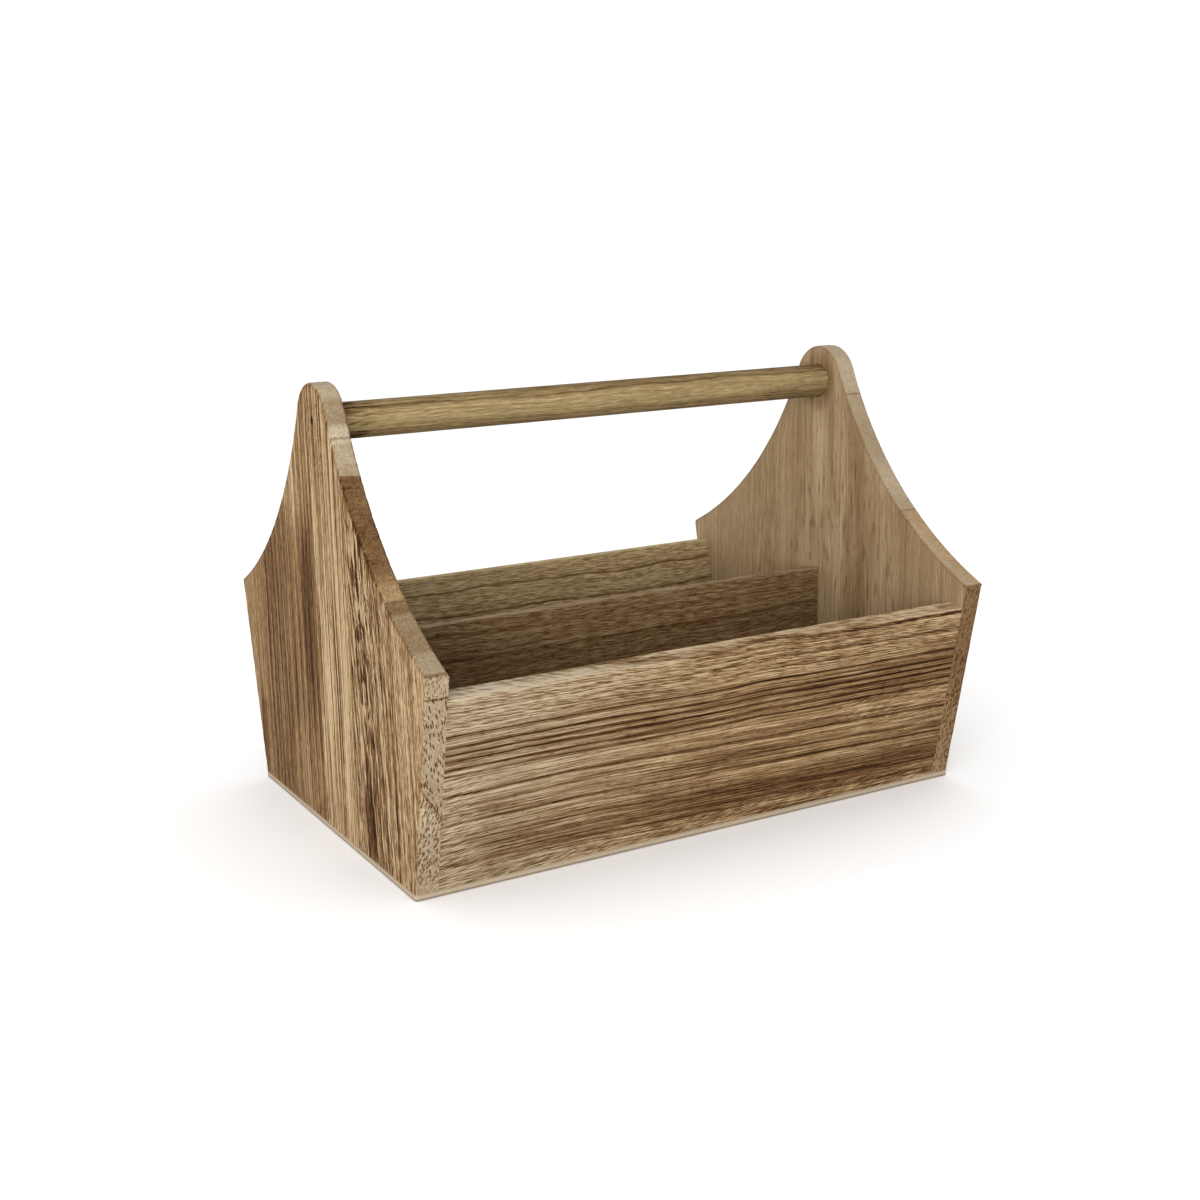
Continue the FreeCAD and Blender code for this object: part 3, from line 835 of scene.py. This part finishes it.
def nail_tool(end, size, start, stop):
    """A box round the nail's line, between two depths inside an end panel's outer face."""
    xs = sorted((end * (END_X - start), end * (END_X - stop)))
    low = (xs[0], NAIL_YZ[0] - size[0] / 2, NAIL_YZ[1] - size[1] / 2)
    high = (xs[1], NAIL_YZ[0] + size[0] / 2, NAIL_YZ[1] + size[1] / 2)
    return box_tool(low, high)


def head_tool(end):
    return nail_tool(end, NAIL_HEAD, -TOOL_REACH, NAIL_HEAD_FLOOR)


def wire_tool(end):
    return nail_tool(end, NAIL_WIRE, NAIL_HEAD_FLOOR - 0.1, NAIL_SET + NAIL_LENGTH)


def cut(piece, tools):
    for tool in tools:
        change = piece.modifiers.new("cut", "BOOLEAN")
        change.operation = "DIFFERENCE"
        change.solver = "EXACT"
        change.object = tool
    freeze(piece)
    for tool in tools:
        bpy.data.objects.remove(tool)


# ---- figures, board by board


def front_drift(net, along, across):
    """Growth lines of the front board fall to the right, the lower ones more than the upper."""
    upper = ((-INNER_X, 0), (INNER_X, 3.1), (-60, 0.4), (0, 1.9), (22, 1.3), (50, 2.2))
    lower = ((-INNER_X, 0), (INNER_X, 5.2), (-77, -1), (-23, 0.6), (50, 2.9))
    upper = net.bend(along, upper) * net.step(across, 46, 70, 0.5, 1)
    return net.blend(net.step(across, 40, 56), net.bend(along, lower), upper)


def dashes(net, across, along, lean, size):
    """Short marks that lean away from the grain, from -0.5 to 0.5."""
    return net.marks(net.grain(across + along * lean, along, lean, size), 0.38, 0.62)


def front_dashes(net, along, across, deep):
    """Short dashes across the main grain: falling along the top, rising at the left end and the foot."""
    falling = dashes(net, across, along, 0.1, (0.42, 8))
    rising = dashes(net, across, along, -0.18, (0.48, 7))
    at_top = net.step(across, 68, 74)
    at_left = net.step(along, -104, -122) * net.step(across, 56, 50)
    at_right = net.step(along, 45, 80) * net.step(across, 34, 38) * net.step(across, 54, 50)
    at_foot = net.step(across, 12, 8)
    share = net.clamp(at_left + at_foot + at_right * 0.6)
    darker = net.step(along, -110, 90, 0.04, -0.05)
    return falling * at_top * 0.42 + rising * share * 0.44 + darker


def front_tint(net, along, across):
    """The front board is greyer towards its left end."""
    return net.step(along, 10, -125, 0, 0.75)


def front_edge_left(net, along, across, deep):
    """The left panel's front edge: pale, pored end grain, of another kind below a slanted line."""
    reach = deep + END_X
    sway = (net.noise(reach / 4, along / 30, 2) - 0.5) * 3
    slant = along + reach * 1.5
    below = net.step(slant, 50.4, 49.6)
    joint = net.fall(abs(slant - 50), 0.5, 1.2)
    high = net.step(along + sway * 0.4, 87, 88)
    between = (1 - below) * (1 - high)
    sparse = net.pits(reach, along + reach * 1.6, across, (1.2, 2.6, 3), 0.28, 0.46)
    row = net.grain(along + reach * 1.5, along - reach, 3, (4, 16), 1)
    sparse = sparse * net.step(row, 0.4, 0.48) * between
    dense = net.pits(reach, along - reach * 0.9, across, (0.95, 1.9, 3), 0.32, 0.52)
    dense = dense * below * net.step(along, 4, 14, 0.4, 1)
    fine = net.pits(reach, along, across, (0.8, 2.2, 3), 0.26, 0.46) * high
    crack = net.fall(abs(along - 87.2 + sway * 0.4), 0.25, 0.7)
    near = net.step(slant, 40, 49) * below
    outer = net.step(reach, 1.2, 0.4)
    dark = sparse * 0.5 + dense * 0.46 + fine * 0.36 + crack * 0.4 + near * 0.12 + joint * 0.24
    corner = net.fall(abs(along - SHOULDER_Z), 0.2, 0.9)
    curved = net.step(along, 96.6, 97.6)
    return (below * 0.17 + outer * 0.12 - dark - 0.07) * (1 - curved) - corner * 0.26 - curved * 0.12


def nose_edge(net, along, across, deep):
    """The curved edge at the nose: pale, with a thin line, and brown where the next stave starts."""
    line = net.fall(abs(along - 179 + net.noise(deep / 4, 0, 0) * 1.5), 0.3, 0.9)
    lower = net.step(along, 178, 167)
    brown = net.step(along + (deep + END_X) * 0.1, 164.4, 163.8) * net.step(across, -20, -26)
    return line * -0.24 - lower * 0.06 - brown * 0.32


def brown_edge(net, along, across, deep):
    """The curved edge of the stave next to the nose: brown at the top, paler towards the shoulder."""
    return net.step(along, 134, 119, -0.12, 0.1)


def right_edge(net, along, across, deep):
    """The right panel's front edge: brown and smooth above, pored on a slant below."""
    mark = net.pits(deep - INNER_X, along - deep * 1.1, across, (1.1, 2.4, 3), 0.3, 0.5)
    mark = mark * net.step(along, 75, 45, 0.6, 1)
    brown = net.step(along, 20, 60, 0.1, 0.26)
    return (mark * -0.34 - brown) * net.step(along, 97.6, 96.6) + net.step(along, 96.6, 97.6) * 0.06


def right_streaks_and_shade(net, along, across, deep):
    """A few short dark streaks on the inner face, and a darker ring of painted shade round where the bar
    goes in.
    """
    streak = net.grain(across, along, 9, (2.4, 15), 1)
    mark = net.step(streak, 0.56, 0.68) * net.step(along, 150, 135)
    height = along - BAR_Z
    radius = net.math("SQRT", across * across + height * height * 0.6)
    # painted shade: a darker ring round the bar's socket, where the bar meets the panel
    ring = net.step(radius, SOCKET_R + 6, SOCKET_R)
    broad = net.grain(across, along, 12, (6, 60)) - 0.5
    return inner_share(net, deep) * (broad * 0.42 - mark * 0.14 - ring * 0.18)


def bar_flame(net, along, across, deep):
    """Dark flames at the bar's left end and a long brown streak on its upper side."""
    turn = across + deep * 0.5
    flame = net.grain(turn - along * 0.06, along, 4, (1.3, 13), 2, 0.5, 0.6)
    flame = net.step(flame, 0.52, 0.6) * net.step(along, -106, -122)
    upper = net.step(across, 186, 189) * net.step(along, -10, -60)
    streak = net.step(net.grain(turn, along, 6, (1.6, 40)), 0.48, 0.58) * upper
    top = net.step(across, 187.5, 190) * net.step(along, -30, 10)
    return flame * -0.34 - streak * 0.18 - top * 0.1


CALM = {"fibre": 0.16, "fibre_size": (0.9, 6), "hair_width": 1.1, "streak": 0.1}
PALE_RIM = Rim(0.02, 0.16, 0.06, grey=1)

LEFT_FIGURES = {
    1: Figure(
        ((-107, 0.9), (-95, 0.88), (-93, 0.74), (-84, 0.76), (-77, 0.8), (-75, 0.58), (-72, 0.64),
         (-69, 0.7)),
        lines=((-73.6, 0.9, 0.28), (-84.5, 0.6, 0.18), (-90, 0.6, 0.2), (-79, 0.6, 0.18)),
        seed=11, wobble=0.8, fibre=0.46, fibre_size=(0.65, 7), hair=0.5, hair_width=0.7, streak=0.12,
        cloud=0.07, lean=0.05, rim=Rim(-0.03, 0.24, 0.08, at_side=front_edge_left, grey=1)),
    2: Figure(
        ((-71, 0.7), (-66, 0.7), (-61, 0.6), (-57, 0.54), (-53, 0.6), (-50, 0.56), (-44, 0.56),
         (-38, 0.6), (-31, 0.6)),
        lines=((-66.5, 0.8, 0.24), (-63, 0.9, 0.28), (-56.5, 0.8, 0.3), (-50.5, 0.7, 0.2),
               (-35, 0.6, 0.2)),
        seed=23, wobble=2.6, hair=0.66, hair_width=0.8, fibre=0.46, fibre_size=(0.8, 9), lean=0.1,
        fleck=0.72, fleck_at=(-45, 106, 15, 80), fleck_size=(1.9, 13),
        patches=(((-45, 20, 6.5, 26), -0.36), ((-42, 105, 8, 50), -0.05)),
        rim=Rim(-0.02, 0.36, 0.1, (0.9, 1), brown_edge, -0.9, 0.1)),
    3: Figure(
        ((-33, 0.7), (-29, 0.8), (-26, 0.88), (-23, 0.84), (-21.5, 0.95), (-19.5, 0.92), (-18, 0.68),
         (-14, 0.7), (-11.5, 0.86), (-6, 0.86), (-2, 0.8), (1, 0.84), (4.6, 0.66), (5.4, 0.5),
         (7, 0.46)),
        lines=((-30.2, 0.8, 0.32), (-27.4, 0.7, 0.24), (-22.6, 0.7, 0.3), (-17, 0.8, 0.2),
               (-14.4, 0.8, 0.28), (-10.6, 0.7, 0.26), (-8, 0.8, 0.38), (-4.6, 0.7, 0.22),
               (-2, 0.8, 0.28), (2.2, 0.7, 0.24)),
        seed=37, wobble=0.4, fibre=0.24, fibre_size=(0.7, 6), hair=0.72, hair_width=0.75, streak=0.08,
        cloud=0.05, patches=(((-2, 184.2, 1.7, 2.7), -0.75),),
        rim=Rim(0, 0.18, 0.08, (0.9, 1), nose_edge, grey=1)),
    4: Figure(
        ((5, 0.5), (10, 0.5), (12, 0.44), (20, 0.42), (22, 0.5), (25, 0.54), (27, 0.6), (31, 0.6),
         (33, 0.5), (40, 0.52), (48, 0.48)),
        lines=((9.2, 0.8, 0.2), (23.2, 0.8, 0.26), (29, 0.7, 0.2), (36, 0.7, 0.2), (44, 0.7, 0.2)),
        seed=41, wobble=0.8, hair=0.38, cloud=0.1,
        patches=(((14.5, 96, 9.5, 56), -0.18), ((24, 168, 30, 44), 0.2), ((26, 22, 26, 30), 0.1)),
        **CALM),
    5: Figure(
        ((46, 0.46), (52, 0.5), (57, 0.48), (60, 0.4), (64, 0.46), (68, 0.48), (70, 0.4), (72, 0.5),
         (76, 0.56), (81, 0.62)),
        lines=((55.2, 0.9, 0.26), (61, 0.8, 0.18), (70.6, 0.9, 0.3), (49.5, 0.7, 0.16),
               (65.5, 0.7, 0.16)),
        seed=53, wobble=0.9, hair=0.36, cloud=0.1, **CALM),
    6: Figure(
        ((79, 0.64), (86, 0.6), (91, 0.7), (97, 0.64), (107, 0.66)),
        lines=((83, 0.7, 0.2), (88, 0.8, 0.24), (94, 0.7, 0.2)),
        seed=67, wobble=0.8, hair=0.34, cloud=0.08, patches=(((86, 22, 6, 32), -0.25),), **CALM),
}

RIGHT_FIGURES = {
    1: Figure(
        ((-107, 0.7), (-100, 0.62), (-92, 0.56), (-88, 0.66), (-80, 0.6), (-72, 0.68), (-66, 0.52),
         (-61, 0.54)),
        lines=((-66, 0.9, 0.24), (-71, 0.7, 0.16), (-76, 0.8, 0.2), (-90, 0.8, 0.24), (-83, 0.7, 0.18),
               (-97, 0.7, 0.18)),
        seed=71, inside=0.82, rim=Rim(0, 0.24, 0.06, at_side=right_edge, grey=0.3)),
    2: Figure(
        ((-63, 0.6), (-57, 0.72), (-50, 0.78), (-44, 0.7), (-38, 0.52), (-31, 0.46), (-26, 0.58),
         (-20, 0.62)),
        lines=((-59, 0.7, 0.2), (-53, 0.8, 0.22), (-47.5, 0.7, 0.2), (-40, 0.9, 0.22),
               (-27, 0.8, 0.22)),
        seed=83, wobble=1.2, lean=0.04, inside=0.81, extra=right_streaks_and_shade,
        patches=(((-34, 50, 8, 60), -0.16),), rim=PALE_RIM),
    3: Figure(
        ((-22, 0.74), (-14, 0.84), (-6, 0.78), (0, 0.86), (8, 0.74), (14, 0.66), (21, 0.62)),
        lines=((-18, 0.7, 0.2), (-11.5, 0.8, 0.26), (-3, 0.8, 0.24), (3.6, 0.7, 0.24), (9, 0.9, 0.26),
               (15, 0.7, 0.18)),
        seed=97, wobble=0.8, inside=0.79, extra=right_streaks_and_shade, rim=PALE_RIM),
    4: Figure(
        ((19, 0.5), (27, 0.58), (34, 0.48), (42, 0.42), (50, 0.5), (62, 0.54)),
        lines=((24, 0.8, 0.2), (30, 0.7, 0.18), (38, 0.9, 0.24), (52, 0.9, 0.2), (57, 0.7, 0.16)),
        seed=103, wobble=1.8, fleck=0.4, fleck_at=(40, 92, 13, 70), fleck_size=(1.8, 13), lean=-0.06,
        inside=0.92, rim=PALE_RIM),
    5: Figure(
        ((60, 0.56), (70, 0.64), (78, 0.52), (86, 0.66), (96, 0.6), (107, 0.68)),
        lines=((65, 0.7, 0.18), (73, 0.8, 0.22), (84, 0.9, 0.2), (91, 0.7, 0.2), (97, 0.8, 0.2)),
        seed=113, wobble=0.9, inside=0.9, rim=Rim(0, 0.18, 0.2)),
}

FRONT_FIGURE = Figure(
    ((0, 0.7), (5, 0.64), (9, 0.66), (11, 0.52), (19, 0.52), (23, 0.58), (26, 0.66), (28, 0.76),
     (30, 0.76), (32, 0.62), (36, 0.64), (39, 0.7), (41.5, 0.8), (45, 0.68), (50, 0.74), (52, 0.72),
     (54, 0.66), (67, 0.68), (72, 0.72), (82, 0.74), (86.5, 0.78), (89, 0.66), (92, 0.74)),
    lines=((11.6, 0.7, 0.24), (30.8, 0.9, 0.5), (43.5, 0.9, 0.5), (52.7, 0.85, 0.44), (55.6, 0.9, 0.5),
           (59.2, 0.9, 0.5), (62.3, 0.9, 0.5), (65.4, 0.9, 0.48), (70, 0.9, 0.46), (87.8, 1, 0.5),
           (80, 0.5, 0.2), (75.2, 0.5, 0.22), (47.4, 0.5, 0.16), (40.8, 0.5, 0.2), (38.4, 0.5, 0.22),
           (35.8, 0.5, 0.22), (27.4, 0.5, 0.16), (24.6, 0.5, 0.2), (22, 0.5, 0.18), (18.4, 0.5, 0.16)),
    seed=5, wobble=0.4, fibre=0.36, fibre_size=(0.34, 15), hair=0.38, hair_width=0.5, streak=0.07,
    cloud=0.07, pores=0.18, drift=front_drift, extra=front_dashes, tint=front_tint,
    patches=(((16, 50, 7, 130), -0.1), ((35, 25, 3.5, 60), -0.12), ((60, 100, 10, 80), -0.1),
             ((20, -130, 24, 24), 0.12), ((47, -126, 5, 24), 0.12)),
    # its top edge is paler, and a painted highlight runs along its top and arrises
    rim=Rim(0.28, 0.2, 0.1, arris=0.4))

BACK_FIGURE = Figure(
    ((0, 0.52), (20, 0.6), (40, 0.68), (60, 0.74), (75, 0.82), (94, 0.86)),
    lines=((14, 0.8, 0.3), (22, 0.8, 0.36), (36, 0.8, 0.36), (50, 0.8, 0.34), (58, 0.7, 0.32),
           (66, 0.7, 0.36), (78, 0.8, 0.36)),
    seed=17, wobble=2.5, fibre=0.34, fibre_size=(0.6, 8), hair=0.2, grey=0.5,
    # a painted highlight runs along its top and arrises
    second=OLIVE, rim=Rim(0, 0.2, 0.1, arris=0.4))

# The divider's bands are kept dark: painted shade, as if bottles stood on either side of it. Its positive
# arris paints a highlight along its top.
DIVIDER_FIGURE = Figure(
    ((0, 0.42), (30, 0.48), (55, 0.44), (94, 0.54)),
    lines=((18, 0.8, 0.26), (44, 0.8, 0.26), (70, 0.8, 0.26)),
    seed=29, wobble=2.5, fibre=0.28, fibre_size=(0.6, 8), hair=0.16, grey=0.5,
    rim=Rim(0.1, 0.2, 0.1, arris=0.4))

# The bar's bands by height are partly grain and partly painted light and shade: palest along the dowel's
# middle, darker over its top than beneath.
BAR_FIGURE = Figure(
    ((150, 0.7), (174, 0.65), (178, 0.67), (182, 0.76), (186.5, 0.76), (189, 0.64), (191, 0.58),
     (216, 0.58)),
    lines=((178.5, 0.6, 0.14), (185.4, 0.5, 0.1), (188.4, 0.7, 0.2)),
    seed=59, wobble=1.8, fibre=0.2, fibre_size=(0.42, 8), hair=0.12, hair_width=0.8, streak=0.1,
    cloud=0.09, pores=0.07, groove=0.3, grey=0.85, second=OLIVE, extra=bar_flame,
    patches=(((178, 110, 8, 30), -0.1),))

# The plywood is darker at its underside and lowest 0.8 mm: painted shade where the bottom meets the floor.
PLY_FIGURE = Figure(
    ((-5, 0.9), (0.1, 0.6), (0.5, 0.62), (0.8, 0.9), (1.9, 0.94), (2.2, 0.74), (2.5, 0.72), (2.7, 0.92),
     (10, 0.92)),
    seed=61, wobble=0, fibre=0.14, hair=0.12, streak=0.06, cloud=0.05, pores=0.1, second=PALE,
    rim=Rim(0.02, 0.1, 0, arris=0), grey=1)


def finish(piece, figure, axes, look, node, tools=()):
    """Carves and cuts a piece, gives it its material and body, and hides the CAD part that it stands for.
    """
    if "inward" in piece.data.attributes:
        carve(piece, figure, axes)
    if tools:
        cut(piece, tools)
    piece.data.materials.clear()
    piece.data.materials.append(wood_look(look, figure, axes))
    piece.data.shade_smooth()
    piece.data.set_sharp_from_angle(angle=math.radians(SHARP_ANGLE))
    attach(piece, "root")
    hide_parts(node)


def build_panels():
    panels = ((-1, "left", LEFT_GLUE, LEFT_FIGURES), (1, "right", RIGHT_GLUE, RIGHT_FIGURES))
    for end, tag, glue, figures in panels:
        limits = (-PAST_SIDE_Y,) + glue + (PAST_SIDE_Y,)
        for number, (low, high) in enumerate(zip(limits, limits[1:]), start=1):
            tools = []
            if low < SOCKET_R and high > -SOCKET_R:
                tools += [socket_tool(end)]
            if low < NAIL_YZ[0] < high:
                tools += [head_tool(end), wire_tool(end)]
            piece = make_stave(f"{tag}_panel_stave_{number}", end, low, high)
            stave = f"{tag}_stave_{number}"
            finish(piece, figures[number], stave_axes, f"{stave}_wood", stave, tools)


def build_boards():
    boards = (("front", -1, FRONT_FIGURE, front_axes), ("back", 1, BACK_FIGURE, back_axes))
    for name, side, figure, axes in boards:
        piece = make_board(f"{name}_side_board", side)
        finish(piece, figure, axes, f"{name}_board_wood", f"{name}_board")


def build_small():
    finish(make_divider("bottle_divider"), DIVIDER_FIGURE, divider_axes,
           "divider_wood", "divider")
    finish(make_bottom("plywood_bottom"), PLY_FIGURE, divider_axes,
           "bottom_plywood", "bottom_board", [brad_tool(x, y) for x, y in brad_spots()])
    finish(make_bar("carry_bar"), BAR_FIGURE, divider_axes,
           "bar_wood", "handle_bar", [wire_tool(end) for end in (-1, 1)])


def steel():
    """Dull bright wire with a little mottling."""
    look, net, shader, where = new_look("fastener_steel")
    mottle = net.noise(*(axis / 0.8 for axis in where), 3)
    colour = net.palette(mottle, ((0.3, (58, 54, 49)), (0.7, (112, 108, 101))), 1)
    net.fill(shader, {"Base Color": colour, "Roughness": 0.3 + mottle * 0.3, "Metallic": 1})
    return look


def dress_fasteners():
    look = steel()
    for name in ("handle_nails", "front_board_pins", "back_board_pins", "divider_pins", "bottom_brads"):
        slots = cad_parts[name].data.materials
        if not slots:
            slots.append(look)
        for index in range(len(slots)):
            slots[index] = look


# ---- room, light and camera

FRAME_PX = 1200.0
FOCAL_PX = 1537.95
PRINCIPAL = (490.0, 588.0)  # pixels from the left and from the top
SENSOR = 36.0
CAMERA_ANGLES = (-27.048, 12.638, -1.802)  # azimuth, elevation and roll
CAMERA_PLACE = (-369.378, -611.138, 254.852)


def build_light():
    """Even white light from all round, and a soft lamp in front on the left."""
    world = bpy.data.worlds.new("studio")
    world.use_nodes = True
    background = world.node_tree.nodes["Background"]
    Net(world.node_tree).fill(background, {"Color": (1, 1, 1, 1), "Strength": 1.12})
    scene.world = world
    lamp = bpy.data.lights.new("key", "AREA")
    lamp.shape = "RECTANGLE"
    lamp.size = 1.4
    lamp.size_y = 1
    lamp.energy = 35
    stand = add("key", lamp)
    stand.location = (-1.5, -1.5, 0.5)
    target = Vector((0, 0, 0.08))
    stand.rotation_euler = (target - stand.location).to_track_quat("-Z", "Y").to_euler()


def build_floor():
    mesh = bpy.data.meshes.new("floor")
    reach, level = 6, -0.0003
    corners = [(x * reach, y * reach, level) for x, y in ((-1, -1), (1, -1), (1, 1), (-1, 1))]
    mesh.from_pydata(corners, [], [(0, 1, 2, 3)])
    look, net, shader, _ = new_look("pale_floor")
    net.fill(shader, {"Base Color": (0.93, 0.93, 0.93, 1), "Roughness": 0.8})
    mesh.materials.append(look)
    floor = add("floor", mesh)


def build_camera():
    """The photograph's viewpoint, found from the object's own edges and sizes."""
    data = bpy.data.cameras.new("camera")
    data.sensor_width = SENSOR
    data.lens = FOCAL_PX / FRAME_PX * SENSOR
    data.shift_x = 0.5 - PRINCIPAL[0] / FRAME_PX
    data.shift_y = PRINCIPAL[1] / FRAME_PX - 0.5
    azimuth, elevation, roll = (math.radians(angle) for angle in CAMERA_ANGLES)
    turn = Matrix.Rotation(azimuth, 4, "Z") @ Matrix.Rotation(math.pi / 2 - elevation, 4, "X")
    turn = turn @ Matrix.Rotation(roll, 4, "Z")
    camera = add("camera", data)
    camera.matrix_world = Matrix.Translation(Vector(CAMERA_PLACE) * MM) @ turn
    scene.camera = camera
    scene.view_settings.view_transform = "Standard"


build_panels()
build_boards()
build_small()
dress_fasteners()
build_light()
build_floor()
build_camera()
